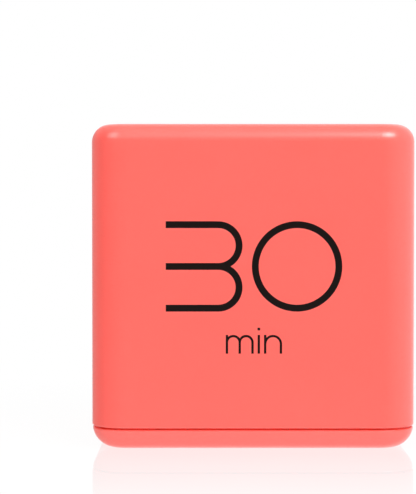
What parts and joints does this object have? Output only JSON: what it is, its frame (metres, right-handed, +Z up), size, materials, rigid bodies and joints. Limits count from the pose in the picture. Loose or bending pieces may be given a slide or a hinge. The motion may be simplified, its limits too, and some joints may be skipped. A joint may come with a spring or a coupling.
{
  "type": "cube timer",
  "caption": "Cube timer with rounded coral case, minute numerals on its sides, a display on top, and a battery door, sound holes and slide switch under the base.",
  "frame": {"origin": "centre of the base, on the surface it stands on", "axes": "+Z up; the face printed 30 looks along -Y; +X to the right of that face"},
  "size_m": [0.066, 0.066, 0.066],
  "materials": {
    "case": "satin",
    "ink": "satin",
    "lens": "gloss",
    "tape": "matte",
    "polarizer": "gloss",
    "lcd_glass": "gloss",
    "reflector": "satin",
    "holder": "satin",
    "zebra": "matte",
    "board": "satin",
    "screw": "satin",
    "resin": "satin",
    "can": "polished",
    "capacitor": "satin",
    "resistor": "satin",
    "plug": "satin",
    "ball": "polished",
    "brass": "satin",
    "ceramic": "matte",
    "wire": "satin",
    "switch_metal": "satin",
    "phenolic": "satin",
    "knob": "satin",
    "contact": "satin",
    "cell": "satin"
  },
  "bodies": {
    "case": {"main_shell": "case", "base_cover": "case", "print_5": "ink", "print_15": "ink", "print_30": "ink", "print_60": "ink", "display_lens": "lens", "lens_tape": "tape", "lcd_polarizer": "polarizer", "lcd_front_glass": "lcd_glass", "lcd_rear_glass": "lcd_glass", "lcd_reflector": "reflector", "lcd_holder": "holder", "zebra_strips": "zebra", "main_board": "board", "cover_screws": "screw", "board_screws": "screw", "switch_screws": "screw", "chip_blob": "resin", "crystal": "can", "tilt_can_x": "can", "tilt_can_y": "can", "capacitor": "capacitor", "chip_resistors": "resistor", "tilt_plug_x": "plug", "tilt_plug_y": "plug", "buzzer_plate": "brass", "buzzer_ceramic": "ceramic", "buzzer_wires": "wire", "switch_wires": "wire", "battery_wires": "wire", "switch_frame": "switch_metal", "switch_housing": "phenolic", "positive_contact": "contact", "negative_contact": "contact", "negative_spring": "contact", "bridge_contact": "contact", "bridge_spring": "contact", "cell_rear": "cell", "cell_front": "cell"},
    "door": {"battery_door": "case"},
    "switch": {"switch_knob": "knob", "switch_stem": "knob"},
    "ball_x": {"tilt_ball_x": "ball"},
    "ball_y": {"tilt_ball_y": "ball"}
  },
  "joints": [
    {"name": "battery_door_swing", "type": "hinge", "parent": "case", "child": "door", "pos_m": [-0.02591, 0.0066, 0.00095], "axis": [0, 1, 0], "range_deg": [0, 75]},
    {"name": "power_switch_slide", "type": "slide", "parent": "case", "child": "switch", "axis": [1, 0, 0], "range_m": [0, 0.002]},
    {"name": "tilt_ball_x_roll", "type": "slide", "parent": "case", "child": "ball_x", "axis": [1, 0, 0], "range_m": [0, 0.0032]},
    {"name": "tilt_ball_y_roll", "type": "slide", "parent": "case", "child": "ball_y", "axis": [0, 1, 0], "range_m": [0, 0.0032]}
  ]
}
